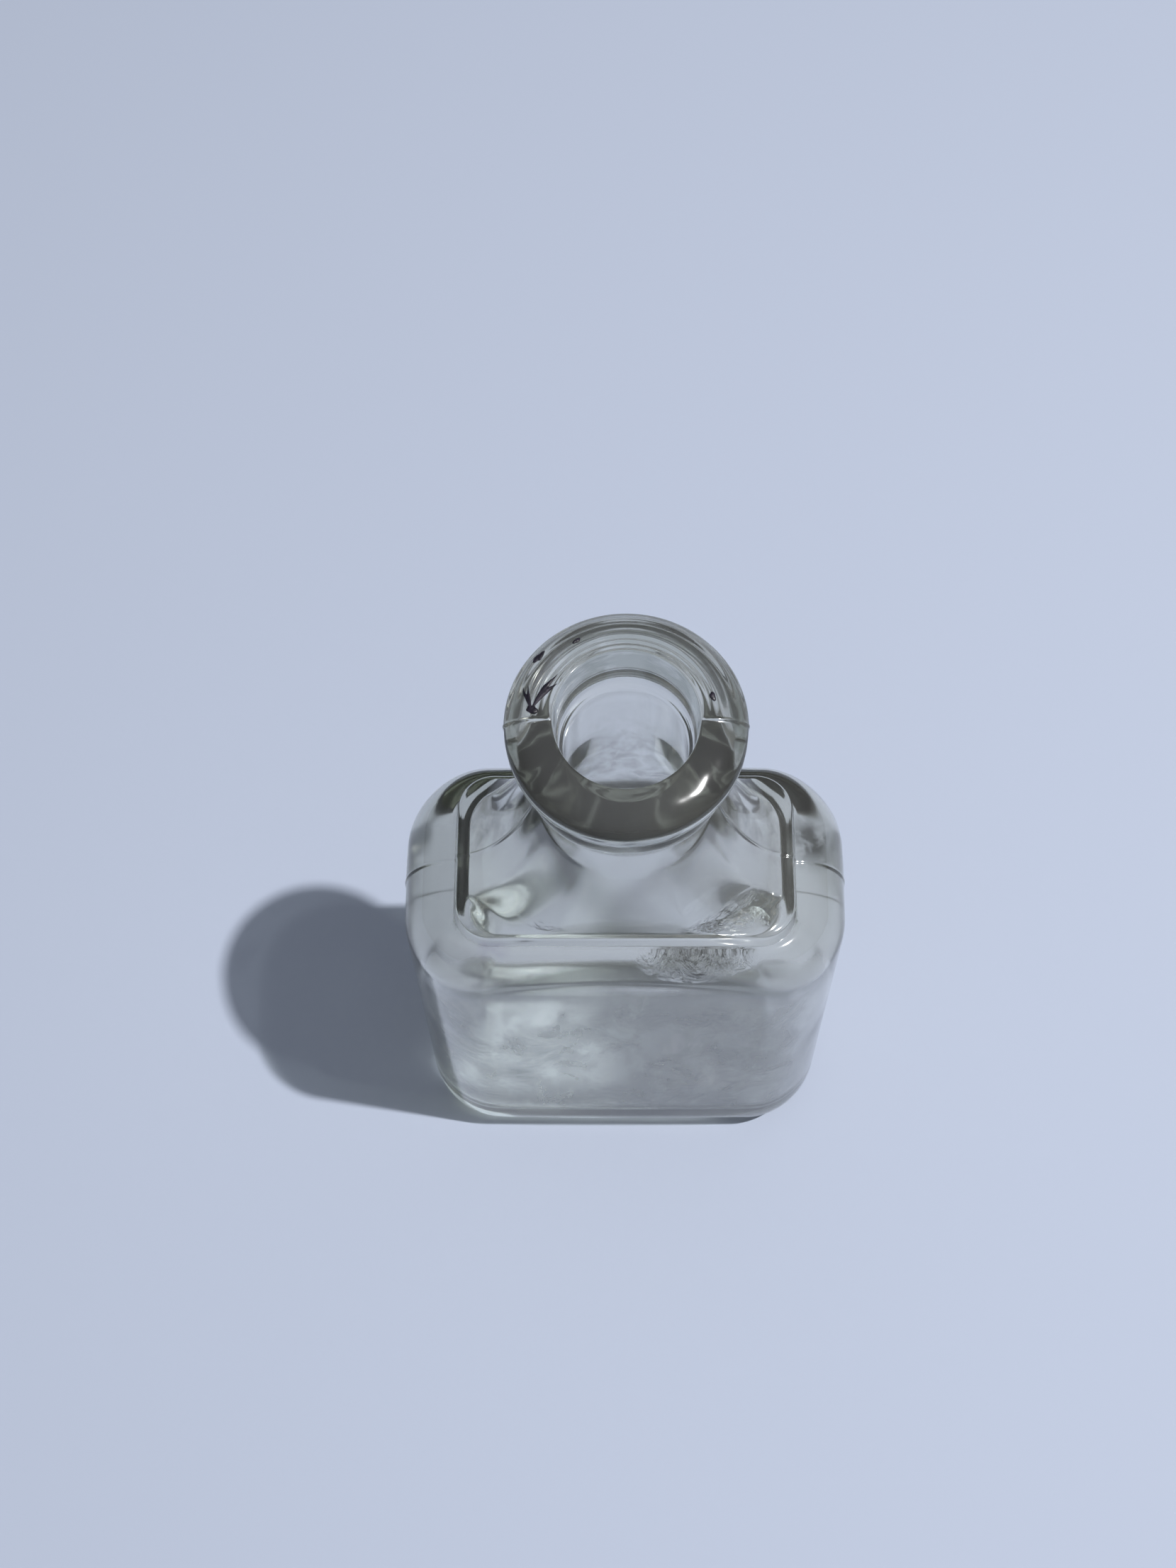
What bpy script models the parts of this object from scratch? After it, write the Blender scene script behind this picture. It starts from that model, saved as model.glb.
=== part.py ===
"""Empty ink bottle: one piece of moulded glass, with dried ink left on its lip."""

import math

import bpy

# Lengths in metres, +Z up, origin on the resting plane under the neck.

# Body: a rounded rectangle, a little wider at the foot than at the shoulder
BODY_HALF_X = 0.0265
BODY_HALF_Y = 0.0137
BODY_DRAFT_X = 0.0006
BODY_CORNER = 0.0090
SIDE_BOW = 0.0005
HEEL_INSET = 0.0036
HEEL_RISE = 0.0075
WALL_HEIGHT = 0.0605

# Resting band and the shallow hollow inside it
RESTING_BAND = 0.0026
HOLLOW_DEPTH = 0.0008
HOLLOW_SLOPE = 0.0010

# Rounded shoulder, the step on top of it, and the sweep up to the neck
SHOULDER_RISE = 0.0079
SHOULDER_INSET_X = 0.0058
SHOULDER_INSET_Y = 0.0030
STEP_CORNER = 0.0046
STEP_RISE = 0.0019
STEP_INSET = 0.0009
SWEEP_RISE = 0.0185
SWEEP_FLARE = 0.35

# Neck, collar and lip
NECK_RADIUS = 0.0095
NECK_STRAIGHT = 0.0074
COLLAR_PROUD = 0.0016
COLLAR_UNDERSIDE = 0.0015
COLLAR_BAND = 0.0011
GROOVE_DEPTH = 0.00085
GROOVE_RISE = 0.0025
LIP_RADIUS = 0.01245
LIP_FOOT = 0.0040
LIP_CROWN = 0.0020

# Rise per length from front to back of the hand-finished mouth, which leans to the front
FINISH_LEAN = 0.061

# Bore and cavity
BORE_RADIUS = 0.00743
RIM_WIDTH = 0.00024
RIM_DROP = 0.00055
THROAT_NARROWING = 0.00095
NECK_GLASS = 0.0023
SHOULDER_GLASS = 0.0031
WALL_GLASS = 0.0027
WALL_REACHED = 0.0270
FLOOR_GLASS = 0.0048
FLOOR_CROWN = 0.0005
FLOOR_RADIUS = 0.0045
ARCH_DROP = 0.0040
ARCH_REACH = 0.0040
ARCH_FADE = 0.0300
FRONT_START = 0.35
FRONT_END = 0.95

# Shares of the step's inset and rise, of the rim's width and drop, and of the throat's narrowing at a depth
STEP_CURVE = ((0.20, 0.06), (0.36, 0.50), (0.55, 0.88), (1.0, 1.0))
RIM_CURVE = ((0.30, 0.15), (0.0, 1.0))
THROAT_CURVE = ((0.43, 0.0056), (0.88, 0.0066), (1.0, 0.0072), (0.95, 0.0085), (0.81, 0.0120))

# Inner shoulder at the sides and back, then at the front: insets from the step's outline along x and y,
# corner radius, and fall below the cavity's ceiling
INNER_SHOULDER = (
    (0.0029, 0.0034, 0.0028, 0.0),
    (0.0023, 0.0030, 0.0031, 0.00015),
    (0.0020, 0.0028, 0.0033, 0.0010),
    (0.0008, 0.0020, 0.0034, 0.0050),
    (-0.0014, 0.0, 0.0040, 0.0086),
    (-0.0019, -0.0002, 0.0044, 0.0123),
)
FRONT_SHOULDER = (
    (0.0066, 0.0032, 0.0045, 0.0),
    (0.0042, 0.0026, 0.0047, 0.00040),
    (0.0017, 0.0018, 0.0048, 0.0013),
    (-0.0003, 0.0010, 0.0051, 0.0031),
    (-0.0015, 0.0002, 0.0053, 0.0056),
    (-0.0019, -0.0002, 0.0057, 0.0092),
)

# Dried ink: flecks, and a crust that forks into runs, each with a direction, a half spread and a length
INK_CLEARANCE = 0.0003
INK_HALF_THICK = 0.00020
FLECK_HALF_LONG = 0.00075
FLECK_HALF_WIDE = 0.00040
FLECK_PLACES = (
    ("ink_fleck_left", math.radians(141.5), math.radians(40.0)),
    ("ink_fleck_back", math.radians(120.5), math.radians(61.0)),
    ("ink_fleck_right", math.radians(15.5), math.radians(73.0)),
)
CRUST_ANGLE = math.radians(174.0)
CRUST_TURN = math.radians(66.0)
CRUST_MIDDLE = 0.00045
CRUST_RUNS = (
    (math.radians(165.0), math.radians(9.0), 0.0056),
    (math.radians(205.0), math.radians(13.0), 0.0027),
)

# Outlines and heights that follow from the sizes above
WALL_TOP_HALF_X = BODY_HALF_X - BODY_DRAFT_X
STEP_HALF_X = WALL_TOP_HALF_X - SHOULDER_INSET_X
STEP_HALF_Y = BODY_HALF_Y - SHOULDER_INSET_Y
SWEEP_HALF_X = STEP_HALF_X - STEP_INSET
SWEEP_HALF_Y = STEP_HALF_Y - STEP_INSET
SWEEP_CORNER = STEP_CORNER - STEP_INSET
STEP_Z = WALL_HEIGHT + SHOULDER_RISE
SWEEP_Z = STEP_Z + STEP_RISE
NECK_Z = SWEEP_Z + SWEEP_RISE
COLLAR_Z = NECK_Z + NECK_STRAIGHT
GROOVE_Z = COLLAR_Z + COLLAR_UNDERSIDE + COLLAR_BAND + GROOVE_RISE
LIP_Z = GROOVE_Z + LIP_FOOT
TOP_Z = LIP_Z + LIP_CROWN
COLLAR_RADIUS = NECK_RADIUS + COLLAR_PROUD
GROOVE_RADIUS = COLLAR_RADIUS - GROOVE_DEPTH
CREST_RADIUS = BORE_RADIUS + RIM_WIDTH
NECK_INNER_RADIUS = NECK_RADIUS - NECK_GLASS
FLOOR_Z = HOLLOW_DEPTH + FLOOR_GLASS
CAVITY_TOP = SWEEP_Z - SHOULDER_GLASS

# Points in one quarter of every ring: along the narrow side, round the corner, along the wide face
SIDE_STEPS = 4
CORNER_STEPS = 8
FACE_STEPS = 6
QUARTER = SIDE_STEPS + CORNER_STEPS + FACE_STEPS


def full_turn(quarter):
    """Mirror the points of one quarter, both ends included, into a closed ring."""
    back = quarter[:0:-1]
    ring = list(quarter[:-1])
    ring += [(-x, y) for x, y in back]
    ring += [(-x, -y) for x, y in quarter[:-1]]
    ring += [(x, -y) for x, y in back]
    return ring


def rounded_rectangle(half_x, half_y, corner, bow=0.0):
    """Ring with straight or slightly bowed sides and round corners."""
    quarter = []
    for k in range(SIDE_STEPS):
        quarter.append((half_x, (half_y - corner) * k / SIDE_STEPS))
    for k in range(CORNER_STEPS):
        angle = 0.5 * math.pi * k / CORNER_STEPS
        across = half_x - corner + corner * math.cos(angle)
        along = half_y - corner + corner * math.sin(angle)
        quarter.append((across, along))
    for k in range(FACE_STEPS + 1):
        quarter.append(((half_x - corner) * (1.0 - k / FACE_STEPS), half_y))
    bowed = []
    for x, y in quarter:
        out_x = 1.0 + bow / half_x * (1.0 - (y / half_y) ** 2)
        out_y = 1.0 + bow / half_y * (1.0 - (x / half_x) ** 2)
        bowed.append((x * out_x, y * out_y))
    return full_turn(bowed)


def circle(radius):
    """Round ring with the same number of points."""
    angles = [0.5 * math.pi * k / QUARTER for k in range(QUARTER + 1)]
    return full_turn([(radius * math.cos(a), radius * math.sin(a)) for a in angles])


def between(first, second, share):
    """Ring part of the way from one outline to another."""
    return [(a + (c - a) * share, b + (d - b) * share) for (a, b), (c, d) in zip(first, second)]


def at_height(ring, z):
    return [(x, y, z) for x, y in ring]


def mix(low, high, share):
    return low + (high - low) * share


def rise(value, low, high):
    """Smooth step from 0 at the low value to 1 at the high one."""
    share = min(1.0, max(0.0, (value - low) / (high - low)))
    return share * share * (3.0 - 2.0 * share)


def lean(place):
    """Place on the mouth or the ink on it, lifted or lowered by the mouth's lean."""
    x, y, z = place
    return x, y, z + FINISH_LEAN * y * rise(z, NECK_Z, COLLAR_Z)


def base_and_wall():
    """Rings from the hollow under the bottle, round the heel and up to the top of the wall."""
    flat_x = BODY_HALF_X - HEEL_INSET
    flat_y = BODY_HALF_Y - HEEL_INSET
    flat_corner = BODY_CORNER - HEEL_INSET
    mouth = rounded_rectangle(flat_x - RESTING_BAND, flat_y - RESTING_BAND, flat_corner)
    inset = RESTING_BAND + HOLLOW_SLOPE
    roof = rounded_rectangle(flat_x - inset, flat_y - inset, flat_corner)
    rings = [
        at_height(between(roof, circle(0.0), 0.5), HOLLOW_DEPTH),
        at_height(roof, HOLLOW_DEPTH),
        at_height(mouth, 0.0),
    ]
    for k in range(6):
        angle = 0.5 * math.pi * k / 5
        out = HEEL_INSET * math.sin(angle)
        ring = rounded_rectangle(flat_x + out, flat_y + out, flat_corner + out, SIDE_BOW * math.sin(angle))
        rings.append(at_height(ring, HEEL_RISE * (1.0 - math.cos(angle))))
    for k in range(1, 5):
        share = k / 4
        half_x = mix(BODY_HALF_X, WALL_TOP_HALF_X, share)
        ring = rounded_rectangle(half_x, BODY_HALF_Y, BODY_CORNER, SIDE_BOW)
        rings.append(at_height(ring, mix(HEEL_RISE, WALL_HEIGHT, share)))
    return rings


def sweep(angle):
    """Shares of the way up and in on the hollow curve to the neck, which is a little flared at its top."""
    up = 1.0 - math.cos(angle)
    return up, mix(math.sin(angle), up, SWEEP_FLARE)


def shoulder_and_neck():
    """Rings over the rounded shoulder, up the step and along the sweep to the neck."""
    rings = []
    for k in range(1, 7):
        angle = 0.5 * math.pi * k / 6
        share = 1.0 - math.cos(angle)
        ring = rounded_rectangle(
            mix(WALL_TOP_HALF_X, STEP_HALF_X, share),
            mix(BODY_HALF_Y, STEP_HALF_Y, share),
            mix(BODY_CORNER, STEP_CORNER, share),
            SIDE_BOW * (1.0 - share),
        )
        rings.append(at_height(ring, mix(WALL_HEIGHT, STEP_Z, math.sin(angle))))
    for across, up in STEP_CURVE:
        inset = STEP_INSET * across
        ring = rounded_rectangle(STEP_HALF_X - inset, STEP_HALF_Y - inset, STEP_CORNER - inset)
        rings.append(at_height(ring, STEP_Z + STEP_RISE * up))
    panel = rounded_rectangle(SWEEP_HALF_X, SWEEP_HALF_Y, SWEEP_CORNER)
    for k in range(1, 9):
        angle = 0.5 * math.pi * k / 8
        up, inward = sweep(angle)
        rings.append(at_height(between(panel, circle(NECK_RADIUS), inward), SWEEP_Z + SWEEP_RISE * up))
    return rings


def finish_profile():
    """Radius and height of each ring from the neck over the collar and lip into the throat."""
    profile = [
        (NECK_RADIUS, COLLAR_Z),
        (NECK_RADIUS + 0.15 * COLLAR_PROUD, COLLAR_Z + 0.5 * COLLAR_UNDERSIDE),
        (NECK_RADIUS + 0.75 * COLLAR_PROUD, COLLAR_Z + COLLAR_UNDERSIDE),
        (COLLAR_RADIUS, COLLAR_Z + COLLAR_UNDERSIDE + COLLAR_BAND),
        (GROOVE_RADIUS, GROOVE_Z),
    ]
    for angle in (-65.0, -40.0, -15.0):
        turn = math.radians(angle)
        radius = GROOVE_RADIUS + (LIP_RADIUS - GROOVE_RADIUS) * math.cos(turn)
        profile.append((radius, LIP_Z + LIP_FOOT * math.sin(turn)))
    for angle in (5.0, 25.0, 45.0, 65.0, 90.0):
        turn = math.radians(angle)
        radius = CREST_RADIUS + (LIP_RADIUS - CREST_RADIUS) * math.cos(turn)
        profile.append((radius, LIP_Z + LIP_CROWN * math.sin(turn)))
    for out, down in RIM_CURVE:
        profile.append((BORE_RADIUS + RIM_WIDTH * out, TOP_Z - RIM_DROP * down))
    for narrow, depth in THROAT_CURVE:
        profile.append((BORE_RADIUS - THROAT_NARROWING * narrow, TOP_Z - depth))
    return profile


def cavity_kind(shoulder):
    """Rings of a cavity with one kind of inner shoulder, from the neck down to the floor's rounding."""
    sections = []
    for inset_x, inset_y, corner, fall in shoulder:
        sections.append((STEP_HALF_X - inset_x, STEP_HALF_Y - inset_y, corner, CAVITY_TOP - fall))
    wall_y = BODY_HALF_Y - WALL_GLASS
    corner = BODY_CORNER - WALL_GLASS
    low_z = FLOOR_Z + FLOOR_RADIUS
    sections.append((WALL_TOP_HALF_X - WALL_GLASS, wall_y, corner, CAVITY_TOP - WALL_REACHED))
    sections.append((BODY_HALF_X - WALL_GLASS, wall_y, corner, low_z))
    ceiling = rounded_rectangle(*sections[0][:3])
    rings = []
    for k in range(8, 0, -1):
        up, inward = sweep(0.5 * math.pi * k / 8)
        ring = between(ceiling, circle(NECK_INNER_RADIUS), inward)
        rings.append(at_height(ring, CAVITY_TOP + SWEEP_RISE * up))
    for half_x, half_y, corner, z in sections:
        rings.append(at_height(rounded_rectangle(half_x, half_y, corner), z))
    return rings


def cavity():
    """Rings from the neck down over the inner shoulder, rounder at the front, and wall to the floor."""
    low_x = BODY_HALF_X - WALL_GLASS
    wall_y = BODY_HALF_Y - WALL_GLASS
    corner = BODY_CORNER - WALL_GLASS
    low_z = FLOOR_Z + FLOOR_RADIUS
    rings = []
    for side_ring, front_ring in zip(cavity_kind(INNER_SHOULDER), cavity_kind(FRONT_SHOULDER)):
        deepest = max(y for x, y, z in front_ring)
        ring = []
        for side, (x, y, z) in zip(side_ring, front_ring):
            near = rise(-y / deepest, FRONT_START, FRONT_END)
            depth = min(1.0, max(0.0, 0.5 * (CAVITY_TOP - z) / ARCH_REACH + 0.5))
            depth *= min(1.0, (z - low_z) / ARCH_FADE)
            front = (x, y, z - ARCH_DROP * depth * (x / low_x) ** 2)
            ring.append(tuple(mix(a, b, near) for a, b in zip(side, front)))
        rings.append(ring)
    for k in range(1, 6):
        angle = 0.5 * math.pi * k / 5
        inset = FLOOR_RADIUS * (1.0 - math.cos(angle))
        ring = rounded_rectangle(low_x - inset, wall_y - inset, corner - inset)
        rings.append(at_height(ring, FLOOR_Z + FLOOR_RADIUS * (1.0 - math.sin(angle))))
    edge = rounded_rectangle(low_x - FLOOR_RADIUS, wall_y - FLOOR_RADIUS, corner - FLOOR_RADIUS)
    rings.append(at_height(between(edge, circle(0.0), 0.5), FLOOR_Z + 0.75 * FLOOR_CROWN))
    return rings


def loft(rings, first, last):
    """Closed skin through the rings, ended by a point at each end."""
    count = len(rings[0])
    verts = [first]
    for ring in rings:
        verts += ring
    verts.append(last)
    faces = []
    for k in range(count):
        after = (k + 1) % count
        faces.append((0, 1 + after, 1 + k))
    for row in range(len(rings) - 1):
        low = 1 + row * count
        high = low + count
        for k in range(count):
            after = (k + 1) % count
            faces.append((low + k, low + after, high + after, high + k))
    top = 1 + (len(rings) - 1) * count
    for k in range(count):
        after = (k + 1) % count
        faces.append((top + k, top + after, len(verts) - 1))
    return verts, faces


def lip_surface(angle, turn, lift):
    """Place above the rounded top of the lip, by its angle round the mouth and over the lip."""
    across = LIP_RADIUS - CREST_RADIUS
    out_r = math.cos(turn) / across
    out_z = math.sin(turn) / LIP_CROWN
    length = math.hypot(out_r, out_z)
    radius = CREST_RADIUS + across * math.cos(turn) + lift * out_r / length
    z = LIP_Z + LIP_CROWN * math.sin(turn) + lift * out_z / length
    return radius * math.cos(angle), radius * math.sin(angle), z


def fleck_edge():
    """Outline of a fleck as lengths along and across the lip."""
    count = 14
    spins = [2.0 * math.pi * k / count for k in range(count)]
    return [(FLECK_HALF_LONG * math.cos(spin), FLECK_HALF_WIDE * math.sin(spin)) for spin in spins]


def crust_edge():
    """Outline of the forked crust as lengths along and across the lip."""
    count = 72
    edge = []
    for k in range(count):
        spin = 2.0 * math.pi * k / count
        reach = CRUST_MIDDLE
        for direction, half_spread, length in CRUST_RUNS:
            off = (spin - direction) / half_spread
            reach = max(reach, length * math.sqrt(max(0.0, 1.0 - off * off)))
        edge.append((reach * math.cos(spin), reach * math.sin(spin)))
    return edge


def ink(angle, turn, edge):
    """Flat crust of dried ink with a rounded edge, bent to the lip."""
    arc = math.hypot(LIP_RADIUS - CREST_RADIUS, LIP_CROWN) / 1.3
    radius = CREST_RADIUS + (LIP_RADIUS - CREST_RADIUS) * math.cos(turn)
    middle = INK_CLEARANCE + INK_HALF_THICK
    rows = 6
    rings = []
    for k in range(1, rows):
        polar = math.pi * k / rows
        share = math.sin(polar)
        lift = middle - INK_HALF_THICK * math.cos(polar)
        ring = []
        for along, across in edge:
            ring.append(lip_surface(angle + share * along / radius, turn + share * across / arc, lift))
        rings.append(ring)
    first = lip_surface(angle, turn, INK_CLEARANCE)
    last = lip_surface(angle, turn, middle + INK_HALF_THICK)
    return loft(rings, first, last)


def glass_material():
    material = bpy.data.materials.new("clear_glass")
    material.use_nodes = True
    shader = material.node_tree.nodes["Principled BSDF"]
    shader.inputs["Base Color"].default_value = (0.86, 0.89, 0.85, 1.0)
    shader.inputs["Roughness"].default_value = 0.03
    shader.inputs["IOR"].default_value = 1.52
    shader.inputs["Transmission Weight"].default_value = 1.0
    return material


def ink_material():
    material = bpy.data.materials.new("dried_ink")
    material.use_nodes = True
    shader = material.node_tree.nodes["Principled BSDF"]
    shader.inputs["Base Color"].default_value = (0.016, 0.010, 0.040, 1.0)
    shader.inputs["Roughness"].default_value = 0.55
    return material


def add_piece(name, skin, material):
    verts, faces = skin
    mesh = bpy.data.meshes.new(name)
    mesh.from_pydata([lean(place) for place in verts], [], faces)
    mesh.polygons.foreach_set("use_smooth", [True] * len(mesh.polygons))
    mesh.materials.append(material)
    mesh.update()
    piece = bpy.data.objects.new(name, mesh)
    bpy.context.scene.collection.objects.link(piece)
    return piece


def main():
    for item in list(bpy.data.objects):
        bpy.data.objects.remove(item, do_unlink=True)
    rings = base_and_wall() + shoulder_and_neck()
    rings += [at_height(circle(radius), z) for radius, z in finish_profile()]
    rings += cavity()
    bottle = loft(rings, (0.0, 0.0, HOLLOW_DEPTH), (0.0, 0.0, FLOOR_Z + FLOOR_CROWN))
    add_piece("glass_bottle", bottle, glass_material())
    add_piece("ink_crust", ink(CRUST_ANGLE, CRUST_TURN, crust_edge()), ink_material())
    for name, angle, turn in FLECK_PLACES:
        add_piece(name, ink(angle, turn, fleck_edge()), ink_material())


main()
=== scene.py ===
"""Looks for the empty ink bottle: thick moulded glass, dried ink at its lip, a pale floor and soft light."""

import math

import bpy
import numpy as np
from bpy.props import FloatProperty, FloatVectorProperty, PointerProperty
from mathutils import Matrix, Vector, noise


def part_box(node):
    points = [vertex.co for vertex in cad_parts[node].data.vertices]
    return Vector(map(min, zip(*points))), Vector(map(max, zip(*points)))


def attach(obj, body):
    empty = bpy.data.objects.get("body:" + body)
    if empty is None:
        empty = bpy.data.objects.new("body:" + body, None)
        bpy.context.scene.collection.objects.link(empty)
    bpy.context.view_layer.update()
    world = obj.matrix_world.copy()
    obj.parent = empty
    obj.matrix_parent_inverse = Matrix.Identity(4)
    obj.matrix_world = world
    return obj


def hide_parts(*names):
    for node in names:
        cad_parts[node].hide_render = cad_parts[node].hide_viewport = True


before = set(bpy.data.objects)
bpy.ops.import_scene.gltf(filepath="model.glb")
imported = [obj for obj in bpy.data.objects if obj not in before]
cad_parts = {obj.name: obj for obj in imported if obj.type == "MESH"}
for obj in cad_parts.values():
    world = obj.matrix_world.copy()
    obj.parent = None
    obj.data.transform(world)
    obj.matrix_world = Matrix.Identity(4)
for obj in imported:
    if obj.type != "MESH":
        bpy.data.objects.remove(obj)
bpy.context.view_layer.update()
GLASS_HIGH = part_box("glass_bottle")[1]

bl_info = {
    "name": "Ink Bottle",
    "version": (1, 0, 0),
    "blender": (4, 5, 0),
    "location": "View3D > Sidebar > Ink Bottle",
    "description": "Builds an empty moulded glass ink bottle with dried ink at its lip, and a stage for it",
    "category": "Add Mesh",
}

# Outline sizes that no user would change on their own, in metres
BODY_DRAFT_X = 0.0006
SIDE_BOW = 0.0005
HEEL_INSET = 0.0036
HEEL_RISE = 0.0075
RESTING_BAND = 0.0026
HOLLOW_DEPTH = 0.0008
HOLLOW_SLOPE = 0.0010
SHOULDER_RISE = 0.0079
SHOULDER_INSET_X = 0.0058
SHOULDER_INSET_Y = 0.0030
STEP_CORNER = 0.0046
STEP_RISE = 0.0019
STEP_INSET = 0.0009
SWEEP_RISE = 0.0185
SWEEP_FLARE = 0.35
NECK_STRAIGHT = 0.0074
COLLAR_PROUD = 0.0016
COLLAR_UNDERSIDE = 0.0015
COLLAR_BAND = 0.0011
GROOVE_DEPTH = 0.00085
GROOVE_RISE = 0.0025
LIP_FOOT = 0.0040
LIP_CROWN = 0.0020
RIM_WIDTH = 0.00024
RIM_DROP = 0.00055
THROAT_NARROWING = 0.00095
NECK_GLASS = 0.0023
SHOULDER_GLASS = 0.0031
FLOOR_GLASS = 0.0048
FLOOR_CROWN = 0.0005
FLOOR_RADIUS = 0.0045
# Rise per length from front to back of the hand-finished mouth, which leans to the front
FINISH_LEAN = 0.061

# Curves on their way from 0 to 1: the step outside, the collar's underside, the rim, and the throat below it,
# which has the share of its narrowing and a depth in metres
STEP_CURVE = ((0.0, 0.0), (0.20, 0.06), (0.36, 0.50), (0.55, 0.88), (1.0, 1.0))
COLLAR_CURVE = ((0.0, 0.0), (0.15, 0.5), (0.75, 1.0))
RIM_CURVE = ((1.0, 0.0), (0.37, 0.11), (0.10, 0.40), (0.0, 1.0))
THROAT_CURVE = ((0.0, 0.00055), (0.21, 0.0030), (0.43, 0.0056), (0.65, 0.0062), (0.88, 0.0066),
                (1.0, 0.0072), (0.95, 0.0085), (0.81, 0.0120))

# Inner shoulder at the sides and back, then at the front: insets from the step's outline along x and y,
# corner radius, and fall below the cavity's ceiling
INNER_SHOULDER = (
    (0.0029, 0.0034, 0.0028, 0.0),
    (0.0023, 0.0030, 0.0031, 0.00015),
    (0.0020, 0.0028, 0.0033, 0.0010),
    (0.0008, 0.0020, 0.0034, 0.0050),
    (-0.0014, 0.0, 0.0040, 0.0086),
    (-0.0019, -0.0002, 0.0044, 0.0123),
)
FRONT_SHOULDER = (
    (0.0066, 0.0032, 0.0045, 0.0),
    (0.0042, 0.0026, 0.0047, 0.00040),
    (0.0017, 0.0018, 0.0048, 0.0013),
    (-0.0003, 0.0010, 0.0051, 0.0031),
    (-0.0015, 0.0002, 0.0053, 0.0056),
    (-0.0019, -0.0002, 0.0057, 0.0092),
)
WALL_REACHED = 0.0270
ARCH_DROP = 0.0040
ARCH_REACH = 0.0040
ARCH_FADE = 0.0300
FRONT_START = 0.35
FRONT_END = 0.95

# Rings along each stretch of the skin, and shares of the way to the middle on the base and the floor
HOLLOW_SHARES = (0.2, 0.4, 0.6, 0.8, 0.93)
HOLLOW_STEPS = 4
HEEL_STEPS = 16
WALL_STEPS = 40
SHOULDER_STEPS = 26
STEP_STEPS = 6
SWEEP_STEPS = 36
FINISH_STEPS = 5
LIP_FOOT_STEPS = 40
LIP_CROWN_STEPS = 44
INNER_SWEEP_STEPS = 30
INNER_STEPS = 8
INNER_WALL_SHARES = (0.0, 0.33, 0.67, 1.0)
FLOOR_STEPS = 16
FLOOR_SHARES = (0.9, 0.7, 0.5, 0.3, 0.15)

# Unevenness of old moulded glass: waves outside and inside, drawn out upright, marks of the lip tool, and the
# mould seam
OUTER_WAVE = 0.000035
OUTER_STRETCH = 1.5
INNER_WAVE = 0.00028
INNER_STRETCH = 2.5
FINISH_WAVE = 0.000020
FINISH_STRETCH = 1.0
BACK_SHIVER = 0.000005
FRONT_SHIVER = 0.000030
SHIVER_SIZE = 0.0016
BROAD_WAVE_SIZE = 0.0130
FINE_WAVE_SIZE = 0.0045
FINE_WAVE_SHARE = 0.35
TOOL_RIDGE = 0.000060
TOOL_RIDGES = 24.0
BACK_FROM = (-0.0010, 0.0060)
SEAM_HEIGHT = 0.00010
SEAM_WIDTH = 0.00016
SEAM_SLIP = 0.00006
FLAT_BELOW = 0.0020
FREE_ABOVE = 0.0080

# One quarter of a ring runs from the mould seam along the narrow side, round the corner and along the face
CORNER_START = 4.0 / 18.0
CORNER_END = 12.0 / 18.0
SEAM_TURNS = (0.0, 0.005, 0.010, 0.015, 0.021, 0.030)
SIDE_STEPS = 8
CORNER_STEPS = 22
FACE_STEPS = 16


def quarter_turns():
    """Places round a quarter ring, close together at the mould seam."""
    side = np.linspace(SEAM_TURNS[-1], CORNER_START, SIDE_STEPS + 1)[1:-1]
    corner = np.linspace(CORNER_START, CORNER_END, CORNER_STEPS + 1)[:-1]
    face = np.linspace(CORNER_END, 1.0, FACE_STEPS + 1)
    return np.concatenate([SEAM_TURNS, side, corner, face])


TURNS = quarter_turns()
RING = 4 * (len(TURNS) - 1)


def full_turn(quarter):
    """Mirror the points of one quarter, both ends included, into a closed ring."""
    back = quarter[:0:-1]
    front = quarter[:-1]
    return np.concatenate([front, back * (-1, 1), front * (-1, -1), back * (1, -1)])


def rounded_rectangle(half_x, half_y, corner, bow=0.0):
    """Ring with straight or slightly bowed sides and round corners."""
    side_x = half_x - corner
    side_y = half_y - corner
    bend = np.clip((TURNS - CORNER_START) / (CORNER_END - CORNER_START), 0.0, 1.0) * 0.5 * math.pi
    along_side = np.clip(TURNS / CORNER_START, 0.0, 1.0)
    along_face = np.clip((1.0 - TURNS) / (1.0 - CORNER_END), 0.0, 1.0)
    x = side_x * along_face + corner * np.cos(bend)
    y = side_y * along_side + corner * np.sin(bend)
    out_x = 1.0 + bow / half_x * (1.0 - (y / half_y) ** 2)
    out_y = 1.0 + bow / half_y * (1.0 - (x / half_x) ** 2)
    return full_turn(np.stack([x * out_x, y * out_y], axis=1))


def circle(radius):
    """Round ring with the same places."""
    angles = 0.5 * math.pi * TURNS
    return full_turn(radius * np.stack([np.cos(angles), np.sin(angles)], axis=1))


def at_height(ring, z):
    return np.column_stack([ring, np.full(len(ring), z)])


def mix(low, high, share):
    return low + (high - low) * share


def smooth_path(points, steps):
    """Points along a smooth curve through the given ones, both ends included."""
    points = [np.array(p, float) for p in points]
    before = 2.0 * points[0] - points[1]
    after = 2.0 * points[-1] - points[-2]
    padded = [before] + points + [after]
    path = []
    for a, b, c, d in zip(padded, padded[1:], padded[2:], padded[3:]):
        for k in range(steps):
            t = k / steps
            path.append(
                0.5 * (2.0 * b + (c - a) * t + (2.0 * a - 5.0 * b + 4.0 * c - d) * t**2
                       + (3.0 * b - a - 3.0 * c + d) * t**3)
            )
    path.append(points[-1])
    return path


def quarter_angles(steps):
    """Angles of a quarter circle without its start."""
    return [0.5 * math.pi * k / steps for k in range(1, steps + 1)]


def sweep(angle):
    """Shares of the way up and in on the hollow curve to the neck, which is a little flared at its top."""
    up = 1.0 - math.cos(angle)
    return up, mix(math.sin(angle), up, SWEEP_FLARE)


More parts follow.
